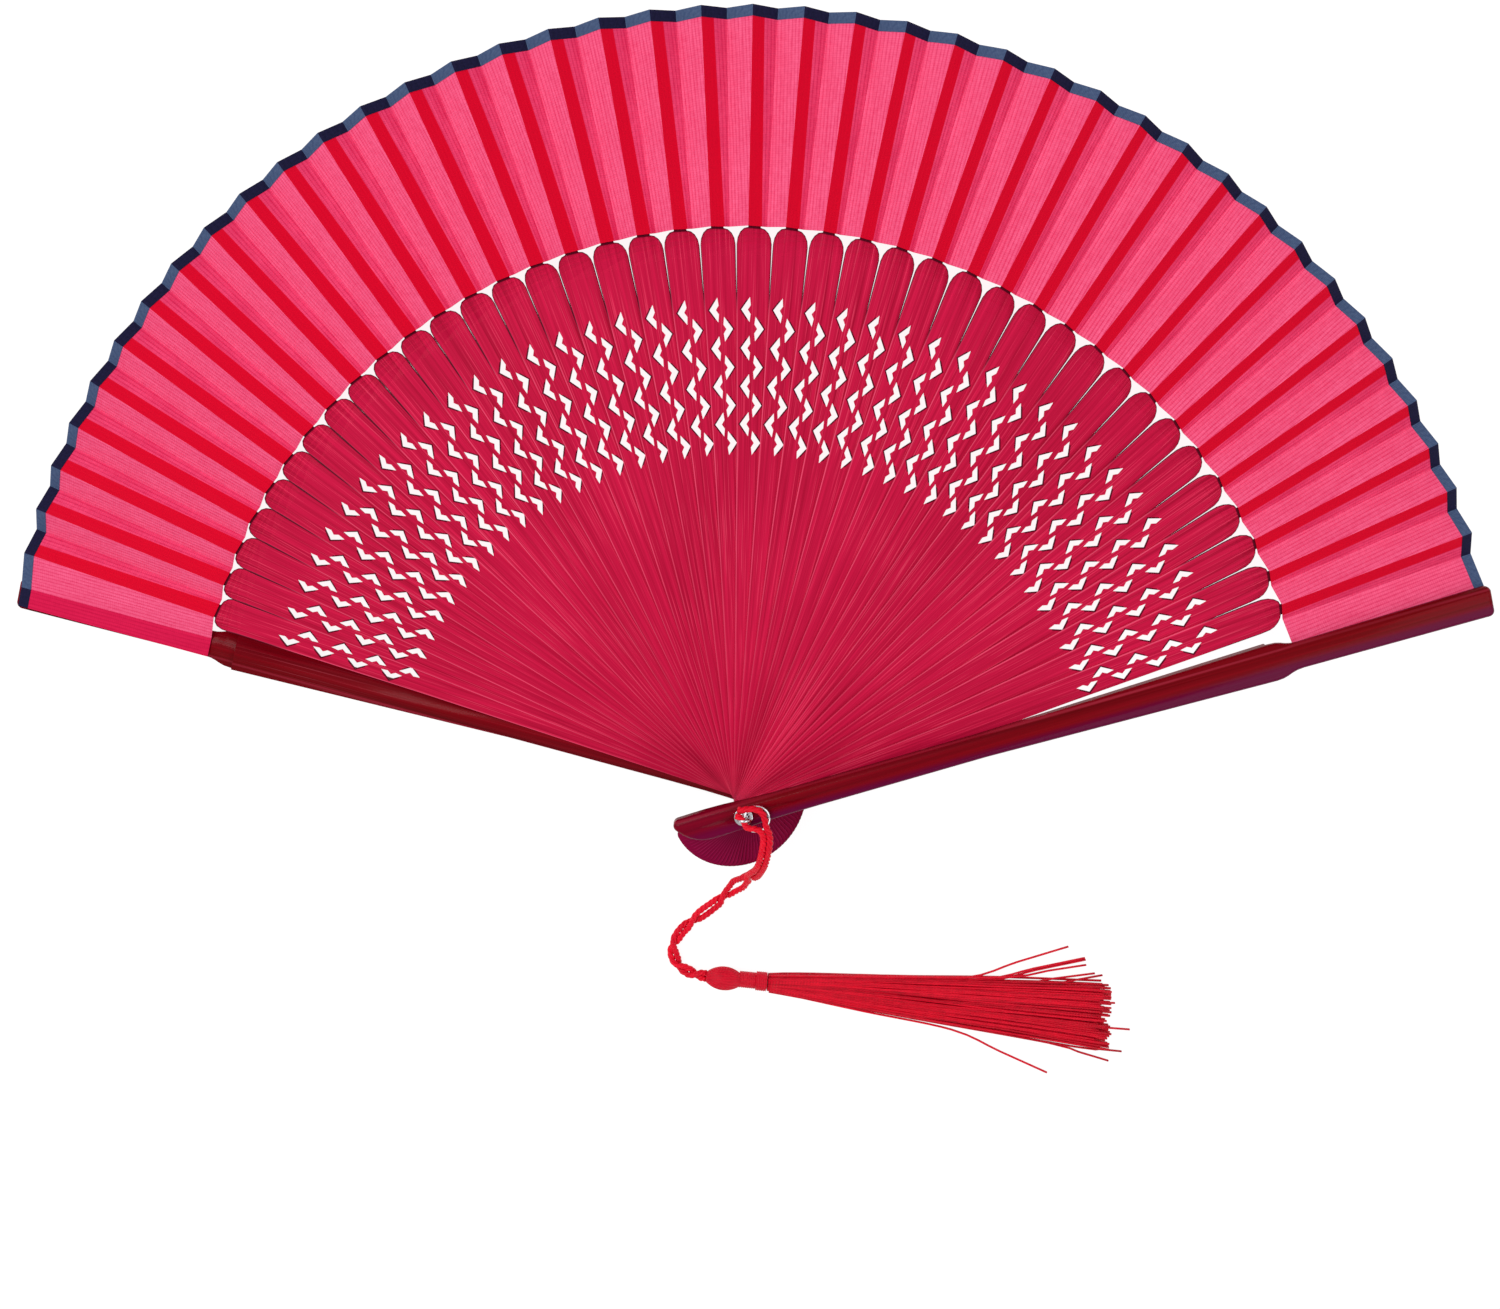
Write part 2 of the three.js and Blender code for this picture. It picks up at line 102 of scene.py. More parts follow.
FIRST_RIB = GUARD_THICKNESS + RIB_CLEARANCE
STACK_TOP = FIRST_RIB + RIBS * RIB_PITCH + GUARD_THICKNESS
PIN_RADIUS = 1.1 * MM
PIN_HEAD_RADIUS = 1.9 * MM
PIN_HEAD_HEIGHT = 0.8 * MM
WASHER_THICKNESS = 0.35 * MM
WASHER_RADIUS = 2.3 * MM
WASHER_HOLE = 1.35 * MM
WASHER_GAP = 0.05 * MM
EYE_RADIUS = 1.15 * MM
EYE_WIRE = 0.4 * MM
EYE_HEIGHT = STACK_TOP + WASHER_THICKNESS + EYE_RADIUS + 2 * EYE_WIRE
RING_RADIUS = 3.2 * MM
RING_WIRE = 0.3 * MM
RING_TURN_RISE = 0.42 * MM
RING_TILT = math.radians(10)

TASSEL_START = Vector((-9.8, -53, 0.15)) * MM
TASSEL_ANGLE = math.radians(-7.5)
HEAD_LENGTH = 9 * MM
HEAD_RADIUS = 3.2 * MM
WRAP_LENGTH = 7.5 * MM
WRAP_RADIUS = 2.6 * MM
TASSEL_CLEARANCE = 0.3 * MM
SKIRT_START = HEAD_LENGTH + WRAP_LENGTH + 2 * TASSEL_CLEARANCE
SKIRT_LENGTH = 94 * MM
SKIRT_HALF_WIDTH = 10.5 * MM

# The doubled cord's line in mm: round the ring, over the edge of the stack and down to the floor.
CORD_LINE = [
    (-1.6, 2.0, 28.9),
    (1.4, 0.9, 28.9),
    (4.0, -1.4, 28.4),
    (5.6, -4.6, 27.6),
    (5.4, -8.5, 26.9),
    (4.5, -14, 23),
    (3, -18.8, 16.4),
    (0.8, -22.8, 9.4),
    (-2.2, -27.2, 4),
    (-6.8, -32.2, 1.8),
    (-12.2, -36.4, 1.65),
    (-17, -40.8, 1.65),
    (-19, -45.8, 1.65),
    (-17.4, -50.2, 1.8),
    (-13.6, -52.4, 2.5),
    (-10.2, -52.95, 3),
]


def stick_angle(k):
    """Angle of stick k from +X: 0 is the rear guard, GAPS the front guard."""
    turned = REAR_ANGLE - k * STEP
    if k == 0:
        return turned + REAR_GAP_EXTRA
    return turned - FRONT_GAP_EXTRA if k == GAPS else turned


def stick_point(k, out, left, z):
    """A point by its distance out from the pin, and to the left of stick k's centre line."""
    a = stick_angle(k)
    return Vector(
        (out * math.cos(a) - left * math.sin(a), out * math.sin(a) + left * math.cos(a), z)
    )


def rib_top(k):
    """Height of the top face of rib k."""
    return FIRST_RIB + (k - 1) * RIB_PITCH + RIB_THICKNESS


# ---- Camera ----


def add_camera():
    data = bpy.data.cameras.new("camera")
    data.sensor_width = 36
    data.lens = 33.36
    camera = bpy.data.objects.new("camera", data)
    camera.location = (-0.0062, 0.111, 0.3545)
    camera.rotation_euler = [math.radians(a) for a in (-12.0, -1.55, -0.54)]
    bpy.context.collection.objects.link(camera)
    bpy.context.scene.camera = camera


# ---- Materials ----


class Value:
    """A number or vector in a node tree, for use in expressions."""

    def __init__(self, finish, socket):
        self.finish = finish
        self.socket = socket

    def maths(self, operation, *values):
        return self.finish.maths(operation, *values)

    def __add__(self, other):
        return self.maths("ADD", self, other)

    __radd__ = __add__

    def __sub__(self, other):
        return self.maths("SUBTRACT", self, other)

    def __rsub__(self, other):
        return self.maths("SUBTRACT", other, self)

    def __mul__(self, other):
        return self.maths("MULTIPLY", self, other)

    __rmul__ = __mul__

    def __truediv__(self, other):
        return self.maths("DIVIDE", self, other)

    def __abs__(self):
        return self.maths("ABSOLUTE", self)


class Finish:
    """A material on one Principled shader, with the nodes that vary it."""

    def __init__(self, name, color, roughness, **constants):
        self.material = bpy.data.materials.new(name)
        self.material.use_nodes = True
        self.material.diffuse_color = (*color, 1)
        self.tree = self.material.node_tree
        self.shader = self.tree.nodes["Principled BSDF"]
        self.set(self.shader, {"Base Color": (*color, 1), "Roughness": roughness, **constants})

    def set(self, node, inputs):
        for key, value in inputs.items():
            if isinstance(value, Value):
                self.tree.links.new(value.socket, node.inputs[key])
            else:
                node.inputs[key].default_value = value

    def add(self, kind, settings, inputs, output=0):
        node = self.tree.nodes.new("ShaderNode" + kind)
        for key, value in settings.items():
            setattr(node, key, value)
        self.set(node, inputs)
        return Value(self, node.outputs[output])

    def maths(self, operation, *values):
        return self.add("Math", {"operation": operation}, dict(enumerate(values)))

    def noise(self, place, scales, detail, seed=0):
        """Noise with its own scale along each axis."""
        stretched = self.add("VectorMath", {"operation": "MULTIPLY"}, {0: place, 1: scales})
        inputs = {"Vector": stretched, "W": seed, "Scale": 1, "Detail": detail}
        return self.add("TexNoise", {"noise_dimensions": "4D"}, inputs)

    def step(self, value, low, high):
        """0 below low, 1 above high, and smooth between them."""
        settings = {"interpolation_type": "SMOOTHSTEP"}
        inputs = {"Value": value, "From Min": low, "From Max": high}
        return self.add("MapRange", settings, inputs)

    def spread(self, value, low, high):
        """Takes noise, which lies mostly between 0.3 and 0.7, to the range from low to high."""
        inputs = {"Value": value, "From Min": 0.3, "From Max": 0.7, "To Min": low, "To Max": high}
        return self.add("MapRange", {}, inputs)

    def blend(self, share, a, b):
        """Colour a where share is 0, b where it is 1."""
        a, b = [c if isinstance(c, Value) else (*c, 1) for c in (a, b)]
        return self.add("Mix", {"data_type": "RGBA"}, {0: share, 6: a, 7: b}, output=2)

    def surface(self):
        """The piece's own map: across and along, in metres."""
        return self.add("UVMap", {"uv_map": "surface"}, {})

    def place(self):
        return self.add("TexCoord", {}, {}, output=3)

    def apart(self, vector):
        node = self.tree.nodes.new("ShaderNodeSeparateXYZ")
        self.set(node, {0: vector})
        return [Value(self, output) for output in node.outputs]

    def own_number(self, name):
        return self.add("Attribute", {"attribute_name": name}, {}, output=2)

    def bump(self, height, distance, strength):
        inputs = {"Strength": strength, "Distance": distance, "Height": height}
        self.set(self.shader, {"Normal": self.add("Bump", {}, inputs)})

    def paint(self, color):
        self.set(self.shader, {"Base Color": color})

    def roughen(self, value):
        self.set(self.shader, {"Roughness": value})


def chevron_marks(finish, across, along):
    """The scorched outer edges of the cut-outs, as a share."""
    row = (CHEVRON_OUTER - along) / CHEVRON_PITCH
    nearest = finish.maths("ROUND", row)
    inside = finish.maths("LESS_THAN", abs(row - (CHEVRON_COUNT - 1) / 2), CHEVRON_COUNT / 2)
    side = 2 * abs(nearest - 2 * finish.maths("FLOOR", nearest / 2)) - 1
    off = abs(row - nearest) * CHEVRON_PITCH
    slope = CHEVRON_TIP * CHEVRON_WIDTH / (CHEVRON_HEIGHT / 2)
    narrowing = (CHEVRON_OUTER_APEX - CHEVRON_INNER_APEX) / (CHEVRON_COUNT - 1)
    beyond = across * side - CHEVRON_OUTER_APEX + nearest * narrowing + off * slope
    return (1 - finish.step(abs(beyond - 0.1 * MM), 0.18 * MM, 0.4 * MM)) * inside


def rib_half_width(finish, along):
    to_pin = (RIB_WAIST_HALF_WIDTH - RIB_PIN_HALF_WIDTH) / WAIST_RADIUS
    to_shoulder = (RIB_HALF_WIDTH - RIB_WAIST_HALF_WIDTH) / (SHOULDER_START - WAIST_RADIUS)
    inner = along * to_pin + RIB_PIN_HALF_WIDTH
    outer = (along - WAIST_RADIUS) * to_shoulder + RIB_WAIST_HALF_WIDTH
    return finish.maths("MINIMUM", finish.maths("MAXIMUM", inner, outer), RIB_HALF_WIDTH)


def make_bamboo():
    finish = Finish("dyed_bamboo", (0.50, 0.002, 0.035), 0.5, **{"Specular IOR Level": 0.05})
    surface = finish.surface()
    across, along, _ = finish.apart(surface)
    seed = finish.own_number("seed") * 7.3
    broad = finish.noise(surface, (1100, 12, 1), 3, seed)
    fine = finish.noise(surface, (5200, 45, 1), 2, seed)
    cloud = finish.noise(surface, (90, 25, 1), 2, seed)
    grain = finish.spread(broad, 0, 1) * 0.55 + finish.spread(fine, 0, 1) * 0.45
    red = finish.blend(grain, (0.25, 0.0, 0.014), (0.74, 0.012, 0.075))
    red = finish.blend(finish.spread(cloud, 0, 0.4), red, (0.60, 0.004, 0.056))
    streak = finish.step(fine, 0.58, 0.68) * 0.4
    red = finish.blend(streak, red, (0.85, 0.09, 0.17))
    tail = 1 - finish.step(along, -5 * MM, 3 * MM)
    red = finish.blend(tail * 0.85, red, (0.17, 0.0, 0.036))
    half = rib_half_width(finish, along)
    # Painted highlight: a thin light pink line along each rib's uncovered edge, where the edge
    # would catch the light; weak near the pin, stronger further out and on the tail.
    uncovered = finish.step(along, -1 * MM, 1 * MM) * 2 - 1
    from_edge = across * uncovered + half
    shown = finish.step(abs(along), 8 * MM, 80 * MM) * 0.7 + 0.3 + tail * 0.5
    lit = (1 - finish.step(from_edge, 0.1 * MM, 0.34 * MM)) * finish.spread(broad, 0.35, 0.8)
    lit = lit * shown
    red = finish.blend(lit, red, finish.blend(tail, (0.88, 0.10, 0.20), (0.42, 0.02, 0.12)))
    past = finish.maths("MAXIMUM", along - SHOULDER_START, 0) / SHOULDER_LENGTH
    aside = (abs(across) - SLIP_HALF_WIDTH) / (half - SLIP_HALF_WIDTH)
    aside = finish.maths("MAXIMUM", aside, 0)
    out = finish.maths("SQRT", aside * aside + past * past)
    rim = finish.step(out, 0.89, 0.96) * finish.step(along, 120 * MM, 128 * MM)
    marks = finish.maths("MAXIMUM", rim, chevron_marks(finish, across, along))
    finish.paint(finish.blend(marks * 0.88, red, (0.035, 0.0, 0.006)))
    finish.roughen(finish.spread(broad, 0.42, 0.62))
    finish.bump(grain, 0.05 * MM, 0.6)
    return finish.material


def make_lacquer():
    """Dark red lacquer with a painted highlight along its left-hand edge. The front guard, whose
    number is 1, has a painted purple sheen towards its right-hand edge. The rear guard, whose
    number is 0, is scratched."""
    constants = {"Coat Weight": 0.05, "Coat Roughness": 0.1, "Specular IOR Level": 0.05}
    finish = Finish("lacquered_bamboo", (0.14, 0.0, 0.003), 0.3, **constants)
    surface = finish.surface()
    across, along, _ = finish.apart(surface)
    streak = finish.noise(surface, (900, 7, 1), 3)
    cloud = finish.noise(surface, (110, 16, 1), 2)
    red = finish.blend(finish.spread(streak, 0, 1), (0.10, 0.0, 0.001), (0.22, 0.0, 0.004))
    red = finish.blend(finish.spread(cloud, 0, 0.4), red, (0.18, 0.0, 0.010))
    front = finish.own_number("seed")
    # Painted purple sheen towards the front guard's right-hand edge.
    painted_purple_sheen = finish.step(across, 0.0, 2.2 * MM) * front
    red = finish.blend(painted_purple_sheen * 0.85, red, (0.115, 0.0, 0.038))
    scratches = finish.noise(surface, (4200, 14, 1), 3)
    scratched = finish.step(scratches, 0.56, 0.70) * finish.step(along, 20 * MM, 130 * MM)
    red = finish.blend(scratched * (1 - front) * 0.5, red, (0.45, 0.06, 0.09))
    # Painted purple sheen on the tail.
    tail = 1 - finish.step(along, -12 * MM, 12 * MM)
    red = finish.blend(tail * 0.35, red, (0.20, 0.0, 0.030))
    # Painted highlight: a light pink line along the left-hand edge, where the light would catch it.
    painted_edge_highlight = 1 - finish.step(abs(across + 3.1 * MM), 0.1 * MM, 0.4 * MM)
    finish.paint(finish.blend(painted_edge_highlight * finish.spread(cloud, 0.2, 0.7), red, (0.42, 0.03, 0.06)))
    finish.roughen(finish.spread(streak, 0.22, 0.38))
    finish.bump(finish.spread(streak, 0, 1), 0.03 * MM, 0.4)
    return finish.material


def make_silk(name, dark, light, shade, slip=None):
    """Thin silk with lengthwise threads. slip is the colour where a rib's slip shows through."""
    finish = Finish(name, light, 0.75, **{"Specular IOR Level": 0.08})
    surface = finish.surface()
    across, along, _ = finish.apart(surface)
    seed = finish.own_number("seed") * 5.1
    drift = finish.noise(surface, (160, 30, 1), 2, seed)
    warp = finish.maths("SINE", across * (2 * math.pi / (0.92 * MM)) + drift * 9)
    weft = finish.maths("SINE", along * (2 * math.pi / (0.5 * MM)) + drift * 14)
    slub = finish.noise(surface, (2600, 160, 1), 3, seed)
    fleck = finish.noise(surface, (900, 1300, 1), 2, seed)
    cloud = finish.noise(surface, (260, 60, 1), 3, seed)
    threads = finish.step(warp, 0.1, 1.0) * 0.34 + finish.step(weft, 0.2, 1.0) * 0.14
    tone = threads + finish.spread(slub, 0, 0.3) + finish.spread(fleck, 0, 0.22)
    pink = finish.blend(tone, light, dark)
    pink = finish.blend(finish.spread(cloud, 0, shade), pink, dark)
    if slip:
        # Painted shade: the left-hand panel darkens towards the leaf's inner edge.
        near = LEAF_INNER + 16 * MM
        inner = (1 - finish.step(along, LEAF_INNER, near)) * 0.4
        pink = finish.blend(inner * finish.spread(cloud, 0.3, 1), pink, (0.72, 0.006, 0.07))
        edge = (along - LEAF_INNER) * -0.012 + 3.75 * MM
        pink = finish.blend(1 - finish.step(across - edge, -0.08 * MM, 0.08 * MM), pink, slip)
    finish.paint(pink)
    finish.roughen(finish.spread(slub, 0.65, 0.85))
    finish.bump(warp + weft + finish.spread(slub, 0, 1), 0.02 * MM, 0.5)
    return finish.material


def make_binding(name, dark, light):
    finish = Finish(name, dark, 0.75, **{"Specular IOR Level": 0.1})
    surface = finish.surface()
    across, _, _ = finish.apart(surface)
    rib = finish.maths("SINE", across * (2 * math.pi / (0.4 * MM))) * 0.5 + 0.5
    fleck = finish.noise(surface, (1400, 1400, 1), 2)
    finish.paint(finish.blend(finish.spread(fleck, 0, 0.7) + rib * 0.3, dark, light))
    finish.roughen(finish.spread(fleck, 0.65, 0.85))
    finish.bump(rib, 0.04 * MM, 0.6)
    return finish.material


def make_steel():
    finish = Finish("silvered_steel", (0.78, 0.78, 0.80), 0.18, Metallic=1.0)
    place = finish.place()
    scuff = finish.noise(place, (2500, 2500, 2500), 3)
    finish.paint(finish.blend(finish.spread(scuff, 0, 1), (0.62, 0.62, 0.65), (0.90, 0.90, 0.92)))
    finish.roughen(finish.spread(scuff, 0.1, 0.3))
    return finish.material


def make_thread(name, dark, light, period):
    """Shiny rayon thread, with fibres at a slant across the piece's own map."""
    finish = Finish(name, light, 0.42, **{"Specular IOR Level": 0.15})
    surface = finish.surface()
    across, along, _ = finish.apart(surface)
    fibre = finish.maths("SINE", (across + along * 0.6) * (2 * math.pi / period)) * 0.5 + 0.5
    number = finish.own_number("seed")
    fuzz = finish.noise(surface, (3000, 400, 1), 3, number * 3.7)
    tone = finish.spread(fuzz, 0.3, 0.8) + fibre * 0.3 - number * 0.4
    finish.paint(finish.blend(tone, dark, light))
    finish.roughen(finish.spread(fuzz, 0.34, 0.55))
    finish.bump(fibre, 0.05 * MM, 0.6)
    return finish.material


def make_floor():
    """A pale sheet, lit through from behind so that hardly any shadow falls on it."""
    constants = {"Emission Strength": 0.9, "Emission Color": (1, 1, 1, 1)}
    finish = Finish("floor", (0.18, 0.18, 0.18), 0.9, **constants, **{"Specular IOR Level": 0.0})
    place = finish.place()
    mottle = finish.noise(place, (3, 3, 3), 2)
    finish.paint(finish.blend(finish.spread(mottle, 0, 1), (0.17, 0.17, 0.17), (0.19, 0.19, 0.19)))
    return finish.material


# ---- Making pieces ----


def make_piece(name, points, faces, materials, material_of=None, surface=None, seed=0.0):
    """A mesh piece. surface holds (across, along) for each point of each face, in turn."""
    mesh = bpy.data.meshes.new(name)
    mesh.from_pydata([tuple(p) for p in points], [], faces)
    for material in materials:
        mesh.materials.append(material)
    if material_of:
        mesh.polygons.foreach_set("material_index", material_of)
    if surface:
        layer = mesh.uv_layers.new(name="surface")
        layer.data.foreach_set("uv", [x for pair in surface for x in pair])
    add_seed(mesh, seed)
    mesh.update()
    piece = bpy.data.objects.new(name, mesh)
    bpy.context.collection.objects.link(piece)
    return piece


def add_seed(mesh, seed):
    """The number that sets a piece's pattern apart from its neighbours'."""
    numbers = mesh.attributes.new("seed", "FLOAT", "POINT")
    numbers.data.foreach_set("value", [seed] * len(mesh.vertices))


def choose(piece):
    """Makes a piece the only selected one and the active one."""
    bpy.ops.object.select_all(action="DESELECT")
    piece.select_set(True)
    bpy.context.view_layer.objects.active = piece


def smooth(piece, degrees):
    choose(piece)
    bpy.ops.object.shade_smooth_by_angle(angle=math.radians(degrees))


def face_out(piece):
    """Turns every face of a closed piece outwards."""
    made = bmesh.new()
    made.from_mesh(piece.data)
    bmesh.ops.recalc_face_normals(made, faces=made.faces)
    made.to_mesh(piece.data)
    made.free()


def tube(line, radius, sides, phase=0.0):
    """Points, faces and map of a closed round tube along a list of points."""
    points, faces, surface = [], [], []
    run = 0.0
    runs = []
    side = None
    for i, here in enumerate(line):
        before = line[max(0, i - 1)]
        after = line[min(len(line) - 1, i + 1)]
        along = (after - before).normalized()
        if side is None:
            side = along.orthogonal().normalized()
        side = (side - along * side.dot(along)).normalized()
        other = along.cross(side)
        if i:
            run += (here - before).length
        runs.append(run)
        for j in range(sides):
            a = 2 * math.pi * j / sides + phase
            points.append(here + (side * math.cos(a) + other * math.sin(a)) * radius)
    girth = 2 * math.pi * radius
    for i in range(len(line) - 1):
        for j in range(sides):
            a, b = i * sides + j, i * sides + (j + 1) % sides
            faces.append((a, b, b + sides, a + sides))
            u, v = girth * j / sides, girth * (j + 1) / sides
            surface += [(u, runs[i]), (v, runs[i]), (v, runs[i + 1]), (u, runs[i + 1])]
    faces.append(tuple(range(sides))[::-1])
    faces.append(tuple(range((len(line) - 1) * sides, len(line) * sides)))
    surface += [(0, 0)] * sides + [(0, run)] * sides
    return points, faces, surface


def join_tubes(name, tubes, material, seeds):
    """One piece from several tubes, each with its own number."""
    points, faces, surface, numbers = [], [], [], []
    for i, (p, f, s) in enumerate(tubes):
        first = len(points)
        points += p
        faces += [tuple(x + first for x in face) for face in f]
        surface += s
        numbers += [seeds[i]] * len(p)
    piece = make_piece(name, points, faces, [material], None, surface)
    piece.data.attributes["seed"].data.foreach_set("value", numbers)
    piece.data.polygons.foreach_set("use_smooth", [len(f) == 4 for f in faces])
    return piece


def smooth_line(points, step):
    """Points about step apart on a smooth curve through the given ones."""
    points = [Vector(p) for p in points]
    ends = [points[0] * 2 - points[1], *points, points[-1] * 2 - points[-2]]
    line = []
    for a, b, c, d in zip(ends, ends[1:], ends[2:], ends[3:]):
        pieces = max(1, round((c - b).length / step))
        for i in range(pieces):
            t = i / pieces
            line.append(
                0.5
                * (
                    2 * b
                    + (c - a) * t
                    + (2 * a - 5 * b + 4 * c - d) * t**2
                    + (3 * b - a - 3 * c + d) * t**3
                )
            )
    return line + [points[-1]]


def line_length(line):
    return sum((b - a).length for a, b in zip(line, line[1:]))


# ---- Cord ----

# Where the two strands cross, and where they stand apart: (distance along the cord, length) and
# (distance along the cord, extra room), in mm. An opening reaches equally far to both sides.
CROSSINGS = [(36, 6), (51, 7), (62, 7), (70, 6), (76, 5), (81, 5)]
OPENINGS = [(30.5, 0.25), (43.5, 0.75), (57, 0.2)]
OPENING_REACH = 3.2
STRAND_APART = 0.80 * MM
PLIES = 3
PLY_RADIUS = 0.46 * MM
PLY_OFFSET = 0.43 * MM
PLY_PITCH = 4.2 * MM
LOOP_LENGTH = 9 * MM
LOOP_ROOM = 1.8 * MM


def cord_turn(run):
    """How far the pair of strands has turned about the cord's line."""
    turn = 0.0
    for at, length in CROSSINGS:
        t = min(1.0, max(0.0, (run / MM - at) / length + 0.5))
        turn += math.pi * t * t * (3 - 2 * t)
    return turn


def cord_room(run):
    """Half the distance between the two strands: wide in the loop round the ring."""
    room = STRAND_APART
    for at, extra in OPENINGS:
        room += extra * MM * math.exp(-(((run / MM - at) / OPENING_REACH) ** 2))
    if run < LOOP_LENGTH:
        room += LOOP_ROOM * math.sin(math.pi * run / LOOP_LENGTH) ** 2
    return room


def add_cord(thread):
    """Two strands side by side, each of three plies. They cross a few times on the way down."""
    line = smooth_line([Vector(p) * MM for p in CORD_LINE], 0.4 * MM)
    length = line_length(line)
    count = len(line)
    plies = [[] for _ in range(2 * PLIES)]
    for i, here in enumerate(line):
        run = length * i / (count - 1)
        before, after = line[max(0, i - 1)], line[min(count - 1, i + 1)]
        along = (after - before).normalized()
        side = along.cross(UP).normalized()
        other = side.cross(along)
        for strand in (0, 1):
            a = cord_turn(run) + strand * math.pi
            lift = STRAND_APART * math.sin(a)
            centre = here + side * (cord_room(run) * math.cos(a)) + other * lift
            for ply in range(PLIES):
                b = 2 * math.pi * (run / PLY_PITCH + ply / PLIES) + strand
                offset = (side * math.cos(b) + other * math.sin(b)) * PLY_OFFSET
                plies[PLIES * strand + ply].append(centre + offset)
    tubes = [tube(ply, PLY_RADIUS, 8) for ply in plies]
    cord = join_tubes("doubled_cord", tubes, thread, [i / len(tubes) for i in range(len(tubes))])
    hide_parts("tassel_cord")
    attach(cord, "tassel")
    return cord, line, length


# ---- Leaf and its bound edge, in one pleat for each gap between two sticks ----


def ridge(k):
    """Height of the cloth's underside at the fold line over rib k."""
    return rib_top(k) + PLEAT_SLOPE * SLIP_HALF_WIDTH + LEAF_CLEARANCE


def fold_lines(gap):
    """The fold lines of one pleat, from left to right, each a function of the distance out."""
    rear_flap = GUARD_SLIM_THICKNESS + LEAF_CLEARANCE
    front_flap = STACK_TOP - GUARD_SLIM_THICKNESS - LEAF_CLEARANCE - LEAF_THICKNESS
    flap = GUARD_SLIM_HALF_WIDTH - GUARD_CROWN

    def top(k):
        return lambda r: stick_point(k, r, SLIP_HALF_WIDTH, ridge(k))

    def valley(k):
        return lambda r: stick_point(
            k + 0.5, r, SLIP_HALF_WIDTH, ridge(k) - PLEAT_DEPTH * r / FAN_RADIUS
        )

    if gap == 0:
        return [
            lambda r: stick_point(0, r, GUARD_SLIM_HALF_WIDTH, rear_flap),
            lambda r: stick_point(0, r, -REAR_FLAP_FOLD, rear_flap),
            top(1),
        ]
    if gap == RIBS:
        return [
            top(gap),
            valley(gap),
            lambda r: stick_point(GAPS, r, flap, front_flap),
            lambda r: stick_point(GAPS, r, -flap, front_flap),
        ]
    return [top(gap), valley(gap), top(gap + 1)]


def strip(lines, section):
    """Points, faces and map of a closed section, of (out, lift) pairs, swept across fold lines."""
    points, faces, surface = [], [], []
    sides = len(section)
    for line in lines:
        points += [line(out) + UP * lift for out, lift in section]
    across = [[0.0] * sides]
    for i in range(1, len(lines)):
        row = []
        for j in range(sides):
            width = (points[i * sides + j] - points[(i - 1) * sides + j]).length
            row.append(across[-1][j] + width)
        across.append(row)
    for i in range(len(lines) - 1):
        for j in range(sides):
            after = (j + 1) % sides
            a, b = i * sides + j, i * sides + after
            faces.append((a, b, b + sides, a + sides))
            for m, n in ((i, j), (i, after), (i + 1, after), (i + 1, j)):
                surface.append((across[m][n], section[n][0]))
    last = (len(lines) - 1) * sides
    faces.append(tuple(range(sides))[::-1])
    faces.append(tuple(range(last, last + sides)))
    surface += [(across[0][j], section[j][0]) for j in range(sides)][::-1]
    surface += [(across[-1][j], section[j][0]) for j in range(sides)]
    return points, faces, surface


def leaf_section():
    """The cloth from its inner edge out to just inside the binding's fold."""
    rows = 8
    outer = FAN_RADIUS - BINDING_FOLD
    outs = [LEAF_INNER + (outer - LEAF_INNER) * i / rows for i in range(rows + 1)]
    return [(r, 0.0) for r in outs] + [(r, LEAF_THICKNESS) for r in outs[::-1]]


def binding_section():
    """The binding, folded over the cloth's edge."""
    inner, outer = FAN_RADIUS - BINDING_WIDTH, FAN_RADIUS
    low, high = -BINDING_THICKNESS, LEAF_THICKNESS + BINDING_THICKNESS
    middle = LEAF_THICKNESS / 2
    return [
        (inner, low),
        (outer - 0.3 * MM, low),
        (outer, middle - 0.08 * MM),
        (outer, middle + 0.08 * MM),
        (outer - 0.3 * MM, high),
        (inner, high),
    ]


def add_pleat(gap, cloths, bindings):
    """One pleat. cloths and bindings hold the finishes of the left and the right panel."""
    lines = fold_lines(gap)
    points, faces, surface, material_of = [], [], [], []
    for n, section in enumerate((leaf_section(), binding_section())):
        p, f, s = strip(lines, section)
        first = len(points)
        points += p
        faces += [tuple(x + first for x in face) for face in f]
        surface += s
        for i in range(len(f) - 2):
            material_of.append(2 * n + min(1, i // len(section)))
        material_of += [2 * n, 2 * n + 1]
    name = f"pleat_{gap:02d}"
    piece = make_piece(name, points, faces, [*cloths, *bindings], material_of, surface, gap / GAPS)
    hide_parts("leaf", "edge_binding")
    width = 2 * FAN_RADIUS * math.sin(STEP / 2) * math.hypot(1, PLEAT_SLOPE)
    if gap == 0:
        width = GUARD_SLIM_HALF_WIDTH + FAN_RADIUS * (STEP + REAR_GAP_EXTRA)
    if gap == RIBS:
        width += FAN_RADIUS * FRONT_GAP_EXTRA + GUARD_SLIM_HALF_WIDTH
    middle = stick_angle(gap + 0.5)
    across = Vector((math.sin(middle), -math.cos(middle), 0))
    start = lines[1](FAN_RADIUS) + across * FOLD_START
    start + across * 4.2 * MM
    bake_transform(piece)
    return piece


